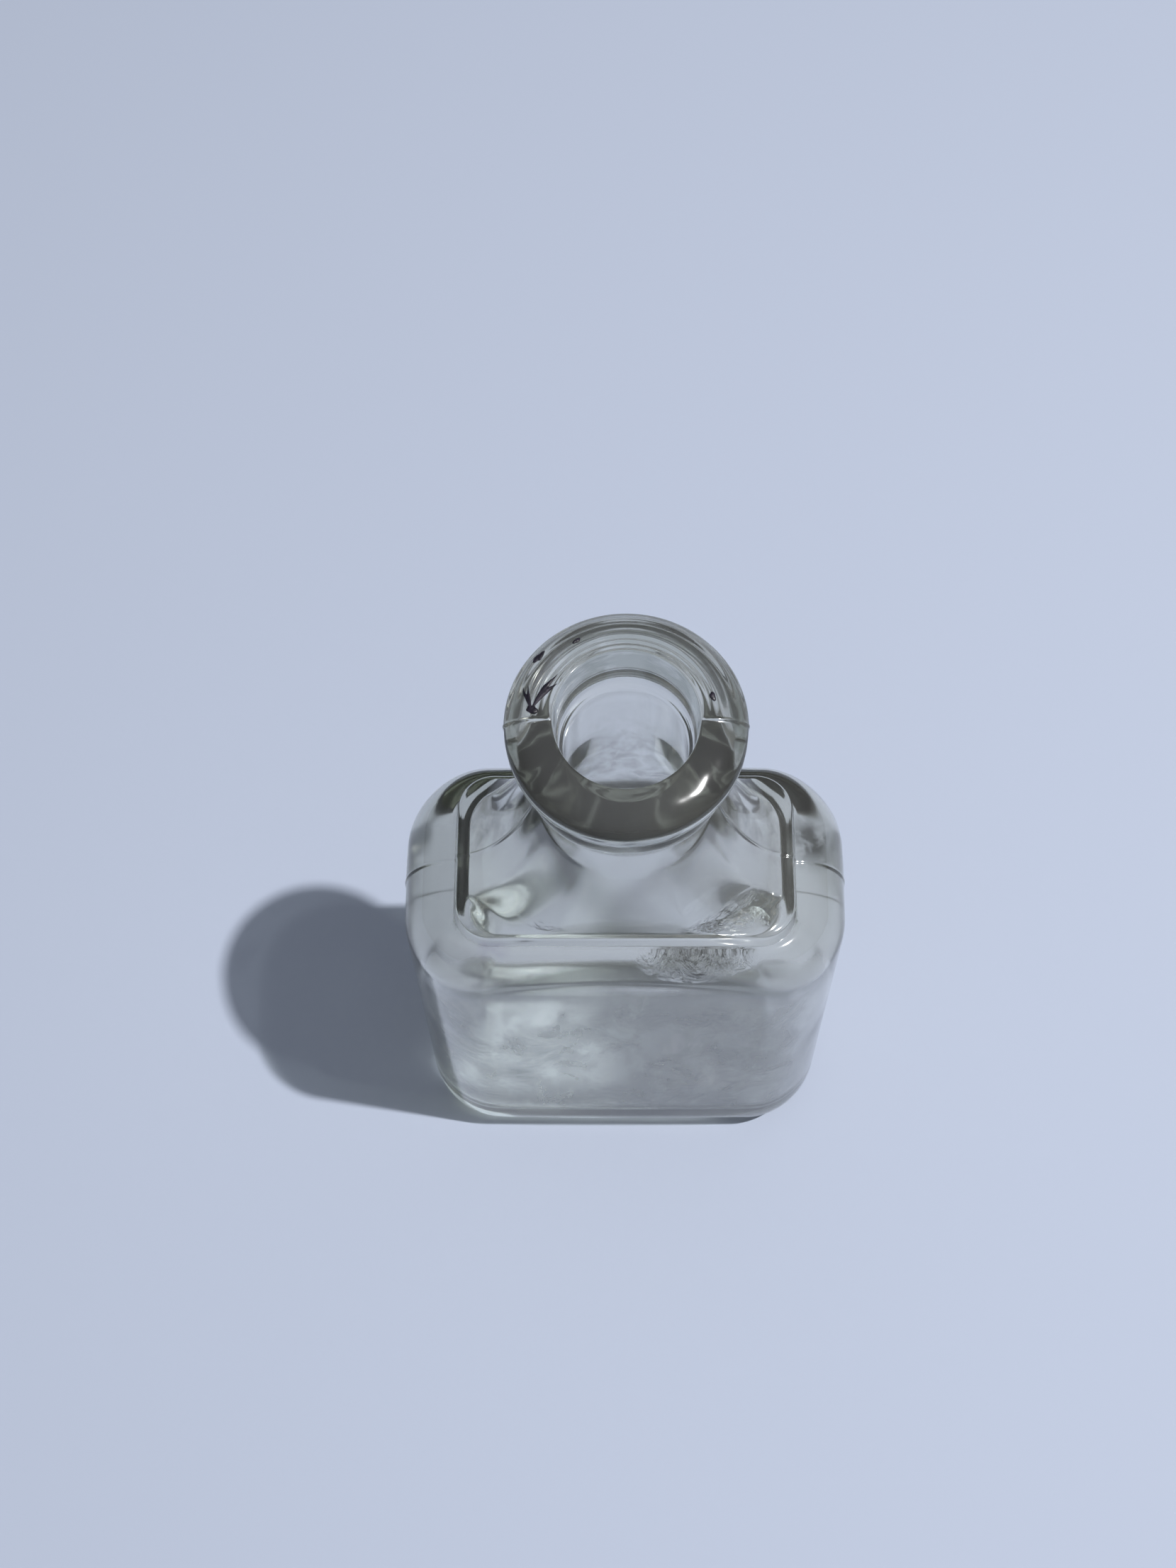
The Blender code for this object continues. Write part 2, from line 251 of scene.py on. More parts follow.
def rise(value, low, high):
    """Smooth step from 0 at the low value to 1 at the high one."""
    share = np.clip((value - low) / (high - low), 0.0, 1.0)
    return share * share * (3.0 - 2.0 * share)


class BottleShape:
    """Sizes of one bottle, and the rings of its outer and inner skin."""

    def __init__(self, sizes):
        self.body_x = sizes.body_half_x
        self.body_y = sizes.body_half_y
        self.corner = sizes.body_corner
        self.wall_height = sizes.wall_height
        self.neck = sizes.neck_radius
        self.lip = sizes.lip_radius
        self.bore = sizes.bore_radius
        self.wall_glass = sizes.wall_glass
        self.wall_top_x = self.body_x - BODY_DRAFT_X
        self.step_x = self.wall_top_x - SHOULDER_INSET_X
        self.step_y = self.body_y - SHOULDER_INSET_Y
        self.sweep_x = self.step_x - STEP_INSET
        self.sweep_y = self.step_y - STEP_INSET
        self.sweep_corner = STEP_CORNER - STEP_INSET
        self.step_z = self.wall_height + SHOULDER_RISE
        self.sweep_z = self.step_z + STEP_RISE
        self.neck_z = self.sweep_z + SWEEP_RISE
        self.collar_z = self.neck_z + NECK_STRAIGHT
        self.groove_z = self.collar_z + COLLAR_UNDERSIDE + COLLAR_BAND + GROOVE_RISE
        self.lip_z = self.groove_z + LIP_FOOT
        self.top_z = self.lip_z + LIP_CROWN
        self.collar_radius = self.neck + COLLAR_PROUD
        self.groove_radius = self.collar_radius - GROOVE_DEPTH
        self.crest_radius = self.bore + RIM_WIDTH
        self.floor_z = HOLLOW_DEPTH + FLOOR_GLASS
        self.cavity_top = self.sweep_z - SHOULDER_GLASS

    def base_and_wall(self):
        """Rings from the hollow under the bottle, round the heel and up the wall."""
        flat_x = self.body_x - HEEL_INSET
        flat_y = self.body_y - HEEL_INSET
        flat_corner = self.corner - HEEL_INSET
        inset = RESTING_BAND + HOLLOW_SLOPE
        roof = rounded_rectangle(flat_x - inset, flat_y - inset, flat_corner)
        rings = [at_height(roof * share, HOLLOW_DEPTH) for share in HOLLOW_SHARES]
        halfway = (mix(inset, RESTING_BAND, 0.5), 0.5 * HOLLOW_DEPTH)
        slope = [(inset, HOLLOW_DEPTH), halfway, (RESTING_BAND, 0.0)]
        for gone, z in smooth_path(slope, HOLLOW_STEPS):
            rings.append(at_height(rounded_rectangle(flat_x - gone, flat_y - gone, flat_corner), z))
        for share in (0.5, 1.0):
            gone = RESTING_BAND * (1.0 - share)
            rings.append(at_height(rounded_rectangle(flat_x - gone, flat_y - gone, flat_corner), 0.0))
        for angle in quarter_angles(HEEL_STEPS):
            out = HEEL_INSET * math.sin(angle)
            bow = SIDE_BOW * math.sin(angle)
            ring = rounded_rectangle(flat_x + out, flat_y + out, flat_corner + out, bow)
            rings.append(at_height(ring, HEEL_RISE * (1.0 - math.cos(angle))))
        for k in range(1, WALL_STEPS + 1):
            share = k / WALL_STEPS
            half_x = mix(self.body_x, self.wall_top_x, share)
            ring = rounded_rectangle(half_x, self.body_y, self.corner, SIDE_BOW)
            rings.append(at_height(ring, mix(HEEL_RISE, self.wall_height, share)))
        return rings

    def shoulder_and_neck(self):
        """Rings over the rounded shoulder, up the step and along the sweep to the neck."""
        rings = []
        for angle in quarter_angles(SHOULDER_STEPS):
            share = 1.0 - math.cos(angle)
            ring = rounded_rectangle(
                mix(self.wall_top_x, self.step_x, share),
                mix(self.body_y, self.step_y, share),
                mix(self.corner, STEP_CORNER, share),
                SIDE_BOW * (1.0 - share),
            )
            rings.append(at_height(ring, mix(self.wall_height, self.step_z, math.sin(angle))))
        for across, up in smooth_path(STEP_CURVE, STEP_STEPS)[1:]:
            inset = STEP_INSET * across
            ring = rounded_rectangle(self.step_x - inset, self.step_y - inset, STEP_CORNER - inset)
            rings.append(at_height(ring, self.step_z + STEP_RISE * up))
        panel = rounded_rectangle(self.sweep_x, self.sweep_y, self.sweep_corner)
        round_neck = circle(self.neck)
        for angle in quarter_angles(SWEEP_STEPS):
            up, inward = sweep(angle)
            rings.append(at_height(mix(panel, round_neck, inward), self.sweep_z + SWEEP_RISE * up))
        return rings

    def finish_profile(self):
        """Radius and height from the neck over the collar and lip into the throat."""
        collar = [(self.neck, self.neck_z + 0.5 * NECK_STRAIGHT)]
        for out, up in COLLAR_CURVE:
            collar.append((self.neck + COLLAR_PROUD * out, self.collar_z + COLLAR_UNDERSIDE * up))
        collar.append((self.collar_radius, self.collar_z + COLLAR_UNDERSIDE + COLLAR_BAND))
        collar.append((self.groove_radius, self.groove_z))
        profile = [tuple(point) for point in smooth_path(collar, FINISH_STEPS)]
        for angle in quarter_angles(LIP_FOOT_STEPS):
            turn = angle - 0.5 * math.pi
            radius = self.groove_radius + (self.lip - self.groove_radius) * math.cos(turn)
            profile.append((radius, self.lip_z + LIP_FOOT * math.sin(turn)))
        for turn in quarter_angles(LIP_CROWN_STEPS):
            radius = self.crest_radius + (self.lip - self.crest_radius) * math.cos(turn)
            profile.append((radius, self.lip_z + LIP_CROWN * math.sin(turn)))
        for out, down in smooth_path(RIM_CURVE, FINISH_STEPS)[1:]:
            profile.append((self.bore + RIM_WIDTH * out, self.top_z - RIM_DROP * down))
        for narrow, down in smooth_path(THROAT_CURVE, FINISH_STEPS)[1:]:
            profile.append((self.bore - THROAT_NARROWING * narrow, self.top_z - down))
        return profile

    def tool_marks(self, places):
        """Heights of the ridges that the lip tool left round the back of the lip."""
        radius = np.hypot(places[:, 0], places[:, 1])
        back = rise(places[:, 1], *BACK_FROM)
        on_lip = rise(places[:, 2], self.groove_z, self.lip_z) * rise(radius, self.bore, self.crest_radius)
        along = np.arctan2(places[:, 2] - self.lip_z, radius - self.crest_radius)
        return TOOL_RIDGE * back * on_lip * np.sin(TOOL_RIDGES * along)

    def lean(self, place):
        """How far the leaning mouth lifts or lowers a place on it."""
        return FINISH_LEAN * place[1] * rise(place[2], self.neck_z, self.collar_z)

    def lip_surface(self, angle, turn):
        """Place and outward direction on the rounded top of the lip."""
        reach = self.lip - self.crest_radius
        radius = self.crest_radius + reach * math.cos(turn)
        height = self.lip_z + LIP_CROWN * math.sin(turn)
        place = Vector((radius * math.cos(angle), radius * math.sin(angle), height))
        place.z += self.lean(place)
        out_r = math.cos(turn) / reach
        out = Vector((out_r * math.cos(angle), out_r * math.sin(angle), math.sin(turn) / LIP_CROWN))
        return place, out.normalized()

    def cavity_kind(self, shoulder):
        """Rings of a cavity with one kind of inner shoulder, from the neck down to the floor's rounding."""
        sections = []
        for inset_x, inset_y, corner, fall in shoulder:
            sections.append((self.step_x - inset_x, self.step_y - inset_y, corner, self.cavity_top - fall))
        wall_y = self.body_y - self.wall_glass
        corner = self.corner - self.wall_glass
        for share in INNER_WALL_SHARES:
            half_x = mix(self.wall_top_x, self.body_x, share) - self.wall_glass
            z = mix(self.cavity_top - WALL_REACHED, self.floor_z + FLOOR_RADIUS, share)
            sections.append((half_x, wall_y, corner, z))
        ceiling = rounded_rectangle(*sections[0][:3])
        round_neck = circle(self.neck - NECK_GLASS)
        rings = []
        for angle in quarter_angles(INNER_SWEEP_STEPS)[::-1] + [0.0]:
            up, inward = sweep(angle)
            rings.append(at_height(mix(ceiling, round_neck, inward), self.cavity_top + SWEEP_RISE * up))
        for half_x, half_y, corner, z in smooth_path(sections, INNER_STEPS)[1:]:
            rings.append(at_height(rounded_rectangle(half_x, half_y, corner), z))
        return rings

    def cavity(self):
        """Rings from the neck down over the inner shoulder, rounder at the front, and wall to the floor."""
        low_x = self.body_x - self.wall_glass
        wall_y = self.body_y - self.wall_glass
        corner = self.corner - self.wall_glass
        low_z = self.floor_z + FLOOR_RADIUS
        rings = []
        for side_ring, front_ring in zip(self.cavity_kind(INNER_SHOULDER), self.cavity_kind(FRONT_SHOULDER)):
            near = np.clip(-front_ring[:, 1] / np.abs(front_ring[:, 1]).max(), 0.0, 1.0)
            near = rise(near, FRONT_START, FRONT_END)[:, None]
            arched = front_ring.copy()
            depth = np.clip(0.5 * (self.cavity_top - front_ring[:, 2]) / ARCH_REACH + 0.5, 0.0, 1.0)
            depth *= np.clip((front_ring[:, 2] - low_z) / ARCH_FADE, 0.0, 1.0)
            arched[:, 2] -= ARCH_DROP * depth * (front_ring[:, 0] / low_x) ** 2
            rings.append(mix(side_ring, arched, near))
        for angle in quarter_angles(FLOOR_STEPS):
            inset = FLOOR_RADIUS * (1.0 - math.cos(angle))
            ring = rounded_rectangle(low_x - inset, wall_y - inset, corner - inset)
            rings.append(at_height(ring, low_z - FLOOR_RADIUS * math.sin(angle)))
        edge = rounded_rectangle(low_x - FLOOR_RADIUS, wall_y - FLOOR_RADIUS, corner - FLOOR_RADIUS)
        for share in FLOOR_SHARES:
            rings.append(at_height(edge * share, self.floor_z + FLOOR_CROWN * (1.0 - share**2)))
        return rings


def waves(place, stretch):
    """Broad and fine random waves, drawn out upright by the stretch, between about -1 and 1."""
    point = Vector((place[0], place[1], place[2] / stretch))
    return noise.noise(point / BROAD_WAVE_SIZE) + FINE_WAVE_SHARE * noise.noise(point / FINE_WAVE_SIZE)


def outer_shift(place):
    """How far the outer skin of the body stands out here: waves, and the ridge where the mould halves met."""
    free = rise(place[2], FLAT_BELOW, FREE_ABOVE)
    ridge = SEAM_HEIGHT * math.exp(-((place[1] / SEAM_WIDTH) ** 2))
    slip = SEAM_SLIP * rise(place[1], -SEAM_WIDTH, SEAM_WIDTH)
    return free * (OUTER_WAVE * waves(place, OUTER_STRETCH) + ridge + slip)


def shiver(place):
    """Small unevenness of the hand-finished mouth, which is stronger at the front."""
    return mix(FRONT_SHIVER, BACK_SHIVER, rise(place.y, *BACK_FROM)) * noise.noise(place / SHIVER_SIZE)


def loft(rings, first, last):
    """Closed skin through the rings, ended by a point at each end."""
    count = len(rings[0])
    verts = np.concatenate([[first], *rings, [last]])
    faces = []
    top = 1 + (len(rings) - 1) * count
    end = len(verts) - 1
    for k in range(count):
        after = (k + 1) % count
        faces.append((0, 1 + after, 1 + k))
        faces.append((top + k, top + after, end))
    for row in range(len(rings) - 1):
        low = 1 + row * count
        high = low + count
        for k in range(count):
            after = (k + 1) % count
            faces.append((low + k, low + after, high + after, high + k))
    return verts, faces


def mesh_of(name, verts, faces):
    mesh = bpy.data.meshes.new(name)
    mesh.from_pydata([tuple(v) for v in verts], [], faces)
    mesh.polygons.foreach_set("use_smooth", [True] * len(mesh.polygons))
    mesh.update()
    return mesh


def add_object(name, mesh, material):
    mesh.materials.append(material)
    piece = bpy.data.objects.new(name, mesh)
    bpy.context.scene.collection.objects.link(piece)
    return piece


class INKBOTTLE_PG_glass(bpy.types.PropertyGroup):
    """Sizes and tints of the glass."""

    body_half_x: FloatProperty(
        name="Body half width", description="From the middle to the wide side's end at the heel",
        default=GLASS_HIGH.x - SIDE_BOW, unit="LENGTH")
    body_half_y: FloatProperty(
        name="Body half depth", description="From the middle to the front face",
        default=GLASS_HIGH.y - SIDE_BOW, unit="LENGTH")
    body_corner: FloatProperty(
        name="Body corner", description="Radius of the body's upright corners",
        default=0.0090, unit="LENGTH")
    wall_height: FloatProperty(
        name="Wall height", description="Height at which the shoulder starts",
        default=0.0605, unit="LENGTH")
    neck_radius: FloatProperty(
        name="Neck radius", description="Outer radius of the neck", default=0.0095, unit="LENGTH")
    lip_radius: FloatProperty(
        name="Lip radius", description="Outer radius of the rolled lip",
        default=0.01245, unit="LENGTH")
    bore_radius: FloatProperty(
        name="Bore radius", description="Radius of the mouth", default=0.00743, unit="LENGTH")
    wall_glass: FloatProperty(
        name="Wall thickness", description="Thickness of the glass in the walls",
        default=0.0027, unit="LENGTH")
    tint: FloatVectorProperty(
        name="Tint", description="What the glass lets through of each colour", subtype="COLOR",
        default=(0.66, 0.67, 0.60), min=0.0, max=1.0)
    surface: FloatVectorProperty(
        name="Surface", description="Colour of the clean glass surface", subtype="COLOR",
        default=(1.0, 1.0, 0.99), min=0.0, max=1.0)
    film: FloatVectorProperty(
        name="Film", description="Colour of the grey film on the inside", subtype="COLOR",
        default=(0.70, 0.70, 0.68), min=0.0, max=1.0)
    # Painted shade: darker streaks in the groove under the lip
    under_lip_shade: FloatVectorProperty(
        name="Under lip shade", description="Colour of the painted shade in the groove under the lip", subtype="COLOR",
        default=(0.44, 0.47, 0.42), min=0.0, max=1.0)
    # Painted shade: a dark band inside the front shoulder, lower towards the sides
    arch_shade: FloatVectorProperty(
        name="Arch shade", description="Colour of the painted shade in a band inside the front shoulder",
        subtype="COLOR", default=(0.20, 0.21, 0.185), min=0.0, max=1.0)
    crumbs: FloatVectorProperty(
        name="Crumbs", description="Colour of the dry residue inside the neck's back", subtype="COLOR",
        default=(0.52, 0.51, 0.49), min=0.0, max=1.0)
    film_roughness: FloatProperty(
        name="Film roughness", description="How much the film blurs what is seen through it",
        default=0.22, subtype="FACTOR")
    polish: FloatProperty(
        name="Polish", description="Roughness of the clean glass", default=0.095, subtype="FACTOR")
    purple: FloatVectorProperty(
        name="Purple stain", description="Colour of the thin ink smeared on the front shoulder",
        subtype="COLOR", default=(0.62, 0.57, 0.70), min=0.0, max=1.0)
    # Painted shade: a dark patch on the outer shoulder at the right
    right_shoulder_shade: FloatVectorProperty(
        name="Right shoulder shade", description="Colour of the painted shade on the right shoulder", subtype="COLOR",
        default=(0.10, 0.095, 0.085), min=0.0, max=1.0)
    lit: FloatVectorProperty(
        name="Lit", description="What the skin of top, base and front lets through of the lamp's light",
        subtype="COLOR", default=(0.92, 0.93, 0.92), min=0.0, max=1.0)
    shadow: FloatVectorProperty(
        name="Shadow", description="What the skin of walls, neck and lip lets through of the lamp's light",
        subtype="COLOR", default=(0.10, 0.105, 0.105), min=0.0, max=1.0)
    depth_of_tint: FloatProperty(
        name="Depth of tint", description="How strongly thick glass is tinted, per metre", default=80.0)


class INKBOTTLE_OT_glass(bpy.types.Operator):
    """Make the glass of the bottle with its cavity, mould seam and slight waves"""

    bl_idname = "ink_bottle.glass"
    bl_label = "Glass Bottle"

    def execute(self, context):
        settings = context.scene.ink_bottle_glass
        shape = BottleShape(settings)
        outer = shape.base_and_wall() + shape.shoulder_and_neck()
        profile = shape.finish_profile()
        finish = [at_height(circle(radius), z) for radius, z in profile]
        inner = shape.cavity()
        rings = outer + finish + inner
        first = (0.0, 0.0, HOLLOW_DEPTH)
        last = (0.0, 0.0, shape.floor_z + FLOOR_CROWN)
        verts, faces = loft(rings, first, last)
        ridges = shape.tool_marks(verts)
        verts[:, 2] += [shape.lean(place) for place in verts]
        mesh = mesh_of("glass_bottle_skin", verts, faces)
        lip_top = max(range(len(profile)), key=lambda k: profile[k][1])
        crest = 1 + RING * (len(outer) + lip_top)
        cavity_start = 1 + RING * (len(outer) + len(finish))
        inside = np.zeros(len(verts), np.float32)
        inside[cavity_start:] = 1.0
        mesh.attributes.new("inside", "FLOAT", "POINT").data.foreach_set("value", inside)
        ripple(mesh, shape, ridges, crest, cavity_start)
        piece = add_object("bottle_glass", mesh, glass_material(settings))
        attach(piece, "root")
        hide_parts("glass_bottle")
        return {"FINISHED"}


def ripple(mesh, shape, ridges, crest, cavity_start):
    """Move the smooth skin in and out a little, as old moulded glass is."""
    normals = np.empty(3 * len(mesh.vertices), np.float32)
    mesh.vertices.foreach_get("normal", normals)
    for vertex, normal in zip(mesh.vertices, normals.reshape(-1, 3)):
        place = vertex.co
        if vertex.index >= cavity_start:
            calm = 1.0 - rise(place.z, shape.sweep_z, shape.collar_z)
            shift = INNER_WAVE * calm * waves(place, INNER_STRETCH)
        elif vertex.index >= crest:
            shift = FINISH_WAVE * waves(place, FINISH_STRETCH) + shiver(place)
        else:
            shift = outer_shift(place) + shiver(place) * rise(place.z, shape.collar_z, shape.groove_z)
        shift += ridges[vertex.index]
        vertex.co = place + Vector(normal) * shift
    mesh.update()


def maths(tree, operation, *values):
    """Math node on values that are each a socket or a number."""
    node = tree.nodes.new("ShaderNodeMath")
    node.operation = operation
    for socket, value in zip(node.inputs, values):
        if isinstance(value, bpy.types.NodeSocket):
            tree.links.new(value, socket)
        else:
            socket.default_value = value
    return node.outputs["Value"]


def product(tree, first, *others):
    """Product of masks, each a socket or a number."""
    for other in others:
        first = maths(tree, "MULTIPLY", first, other)
    return first


def spread(tree, value, low, high):
    """Value stretched so that low becomes 0 and high becomes 1."""
    node = tree.nodes.new("ShaderNodeMapRange")
    node.inputs["From Min"].default_value = low
    node.inputs["From Max"].default_value = high
    tree.links.new(value, node.inputs["Value"])
    return node.outputs["Result"]


def scaled(tree, vector, scale):
    """Vector with each axis scaled."""
    node = tree.nodes.new("ShaderNodeMapping")
    node.inputs["Scale"].default_value = scale
    tree.links.new(vector, node.inputs["Vector"])
    return node.outputs["Vector"]


def blend_colour(tree, share, low, high):
    """Colour between two colours, each a socket or a tuple."""
    node = tree.nodes.new("ShaderNodeMix")
    node.data_type = "RGBA"
    tree.links.new(share, node.inputs["Factor"])
    for socket, colour in zip((node.inputs[6], node.inputs[7]), (low, high)):
        if isinstance(colour, bpy.types.NodeSocket):
            tree.links.new(colour, socket)
        else:
            socket.default_value = (*colour, 1.0)
    return node.outputs[2]


def bumped(tree, height, depth, strength=1.0, normal=None):
    """Normal of a surface with small heights, on top of an earlier normal if one is given."""
    node = tree.nodes.new("ShaderNodeBump")
    node.inputs["Strength"].default_value = strength
    node.inputs["Distance"].default_value = depth
    tree.links.new(height, node.inputs["Height"])
    if normal is not None:
        tree.links.new(normal, node.inputs["Normal"])
    return node.outputs["Normal"]


# Cloud that the uneven patches are cut from, and its levels, cover added, where a patch starts and is full
CLOUD_DETAIL = 6.0
CLOUD_ROUGHNESS = 0.62
CLOUD_DISTORTION = 0.4
PATCH_LEVELS = (0.88, 1.12)


def patches_group():
    """Node group for uneven patches: a mask from 0 to 1 by size and by how much of the surface is covered."""
    name = "uneven_patches"
    if name in bpy.data.node_groups:
        return bpy.data.node_groups[name]
    tree = bpy.data.node_groups.new(name, "ShaderNodeTree")
    tree.interface.new_socket("Vector", in_out="INPUT", socket_type="NodeSocketVector")
    for socket in ("Scale", "Cover"):
        tree.interface.new_socket(socket, in_out="INPUT", socket_type="NodeSocketFloat")
    tree.interface.new_socket("Mask", in_out="OUTPUT", socket_type="NodeSocketFloat")
    start = tree.nodes.new("NodeGroupInput")
    end = tree.nodes.new("NodeGroupOutput")
    cloud = tree.nodes.new("ShaderNodeTexNoise")
    cloud.inputs["Detail"].default_value = CLOUD_DETAIL
    cloud.inputs["Roughness"].default_value = CLOUD_ROUGHNESS
    cloud.inputs["Distortion"].default_value = CLOUD_DISTORTION
    tree.links.new(start.outputs["Vector"], cloud.inputs["Vector"])
    tree.links.new(start.outputs["Scale"], cloud.inputs["Scale"])
    level = maths(tree, "ADD", cloud.outputs["Fac"], start.outputs["Cover"])
    tree.links.new(spread(tree, level, *PATCH_LEVELS), end.inputs["Mask"])
    return tree


def patches(tree, vector, scale, cover):
    """Mask of uneven patches by their fineness per metre and their cover."""
    node = tree.nodes.new("ShaderNodeGroup")
    node.node_tree = patches_group()
    tree.links.new(vector, node.inputs["Vector"])
    node.inputs["Scale"].default_value = scale
    node.inputs["Cover"].default_value = cover
    return node.outputs["Mask"]


# Share of a spot's reach within which it is full
SPOT_CORE = 0.3


def near_place(tree, vector, place, reach):
    """Mask that is 1 at a place and fades to 0 at the given reach."""
    node = tree.nodes.new("ShaderNodeVectorMath")
    node.operation = "DISTANCE"
    tree.links.new(vector, node.inputs[0])
    node.inputs[1].default_value = place
    return spread(tree, node.outputs["Value"], reach, SPOT_CORE * reach)


# Refraction of the glass, and the share of its light that isn't scattered by dust
GLASS_IOR = 1.52
GLASS_CLARITY = 0.965
# Where the film starts and is full: down the front wall, from the middle to the front, and near the floor
RESIDUE_HEIGHTS = (0.066, 0.052)
RESIDUE_FRONT = (0.004, -0.004)
RESIDUE_BOTTOM = (0.016, 0.009)
# Fineness and cover of the film's patches, which are drawn out upright, and of the specks; the film's relief
FILM_SCALE = (1.0, 1.0, 0.45)
FILM_PATCHES = (190.0, 0.47)
SPECK_PATCHES = (900.0, 0.20)
FILM_DEPTH = 0.00008
FILM_RELIEF = 0.25
# Painted shade in a band inside the front shoulder: fall towards the sides per square metre, edges, and depth
# range
ARCH_SHADE_CURVE = 14.0
ARCH_SHADE_TOP = (0.0642, 0.0630)
ARCH_SHADE_FOOT = (0.0575, 0.0620)
ARCH_SHADE_FRONT = (-0.0070, -0.0085)
# Where the dry residue starts and is full inside the back of the neck and shoulder, and its patches
CRUMB_BACK = (-0.0010, 0.0030)
CRUMB_HEIGHTS = (0.058, 0.064)
CRUMB_PATCHES = (360.0, 0.50)
# Where the painted shade in the groove under the lip starts and is full: by radius, from below and from
# above;
# its patches are drawn out round the neck
UNDER_LIP_SHADE_RADII = (0.0082, 0.0090)
UNDER_LIP_SHADE_FOOT = (0.0992, 0.1008)
UNDER_LIP_SHADE_TOP = (0.1056, 0.1042)
UNDER_LIP_SHADE_SCALE = (0.25, 0.25, 1.0)
UNDER_LIP_SHADE_PATCHES = (600.0, 0.55)
# A stain and a painted shade on the outside of the shoulder: place and reach, and their patches
PURPLE_STAIN = ((-0.0153, -0.0110, 0.0684), 0.0022)
RIGHT_SHOULDER_SHADE = ((0.0221, 0.0028, 0.0681), 0.0046)
STAIN_AND_SHADE_PATCHES = (420.0, 0.58)
# Crinkled spots, drawn out along x: how far x is drawn together, and the crinkles' noise
CRINKLE_SQUEEZE = 0.40
CRINKLE_PATCHES = 300.0
CRINKLE_DETAIL = 2.0
CRINKLE_DISTORTION = 1.2
# Crinkled spots inside the front shoulder, each with its place and reach
CRIZZLE_DEPTH = 0.0006
CRIZZLE_COVER = 0.45
CRIZZLE_FINENESS = 380.0
CRIZZLES = (
    ((0.0085, -0.0100, 0.0640), 0.0030),
    ((0.0106, -0.0058, 0.0692), 0.0024),
    ((-0.0088, -0.0060, 0.0692), 0.0014),
)
# The crinkled spot outside, on the panel at the right front, which glitters in the lamp's light
GLITTER_DEPTH = 0.0018
GLITTER_COVER = 0.66
GLITTER_FINENESS = 800.0
GLITTER = ((0.0128, -0.0088, 0.0718), 0.0020)
# Heights over which the base turns into the wall and the wall into the top, for the lamp's light, and how
# much lower the inside counts, so that the inner floor belongs to the base
WALL_FROM = (0.0006, 0.0030)
WALL_TO = (0.066, 0.058)
FLOOR_LIFT = 0.0080
# Depths over which the front wall, which lets the lamp's light in to the base, turns into the side walls
FRONT_WALL = (-0.0140, -0.0136)
# Heights over which the neck starts, and how much of the walls' shade it has
NECK_FROM = (0.0770, 0.0840)
NECK_SHADE = 0.80


class SkinPlace:
    """Sockets for the place on the glass, and masks of its inner and outer skin."""

    def __init__(self, tree):
        self.vector = tree.nodes.new("ShaderNodeTexCoord").outputs["Object"]
        split = tree.nodes.new("ShaderNodeSeparateXYZ")
        tree.links.new(self.vector, split.inputs["Vector"])
        self.x, self.y, self.z = split.outputs
        inside = tree.nodes.new("ShaderNodeAttribute")
        inside.attribute_name = "inside"
        self.inside = inside.outputs["Fac"]
        self.outside = maths(tree, "SUBTRACT", 1.0, self.inside)


def film_mask(tree, place):
    """Grey film down the front wall inside and near the floor, and specks all over the inside."""
    clinging = product(tree, spread(tree, place.y, *RESIDUE_FRONT), spread(tree, place.z, *RESIDUE_HEIGHTS))
    settled = maths(tree, "MAXIMUM", clinging, spread(tree, place.z, *RESIDUE_BOTTOM))
    clouds = patches(tree, scaled(tree, place.vector, FILM_SCALE), *FILM_PATCHES)
    film = product(tree, place.inside, settled, clouds)
    specks = product(tree, place.inside, patches(tree, place.vector, *SPECK_PATCHES))
    return maths(tree, "MAXIMUM", film, specks)


def arch_shade_mask(tree, place):
    """Painted shade in a band inside the front shoulder, lower towards the sides."""
    square = product(tree, place.x, place.x)
    level = maths(tree, "MULTIPLY_ADD", square, ARCH_SHADE_CURVE, place.z)
    line = product(tree, spread(tree, level, *ARCH_SHADE_TOP), spread(tree, level, *ARCH_SHADE_FOOT))
    return product(tree, line, spread(tree, place.y, *ARCH_SHADE_FRONT), place.inside)


def crumb_mask(tree, place):
    """Dry residue inside the back of the neck and shoulder."""
    back = product(tree, spread(tree, place.y, *CRUMB_BACK), spread(tree, place.z, *CRUMB_HEIGHTS))
    return product(tree, back, place.inside, patches(tree, place.vector, *CRUMB_PATCHES))


def under_lip_shade_mask(tree, place):
    """Streaks of painted shade that run round the outside between the collar and the lip."""
    radius = tree.nodes.new("ShaderNodeVectorMath")
    radius.operation = "LENGTH"
    tree.links.new(scaled(tree, place.vector, (1.0, 1.0, 0.0)), radius.inputs[0])
    groove = product(tree, spread(tree, place.z, *UNDER_LIP_SHADE_FOOT), spread(tree, place.z, *UNDER_LIP_SHADE_TOP))
    outside = spread(tree, radius.outputs["Value"], *UNDER_LIP_SHADE_RADII)
    streaks = patches(tree, scaled(tree, place.vector, UNDER_LIP_SHADE_SCALE), *UNDER_LIP_SHADE_PATCHES)
    return product(tree, groove, outside, streaks)


def stain_and_shade_mask(tree, place, spot, reach):
    """Ragged patch at one spot, for a stain and for painted shade."""
    close = near_place(tree, place.vector, spot, reach)
    return product(tree, close, patches(tree, place.vector, *STAIN_AND_SHADE_PATCHES))


def crinkle_mask(tree, place, skin, cover, spot, reach):
    """Ragged spot on one skin, drawn out along x."""
    squeeze = (CRINKLE_SQUEEZE, 1.0, 1.0)
    middle = [share * length for share, length in zip(squeeze, spot)]
    close = near_place(tree, scaled(tree, place.vector, squeeze), middle, reach)
    return product(tree, close, patches(tree, place.vector, CRINKLE_PATCHES, cover), skin)


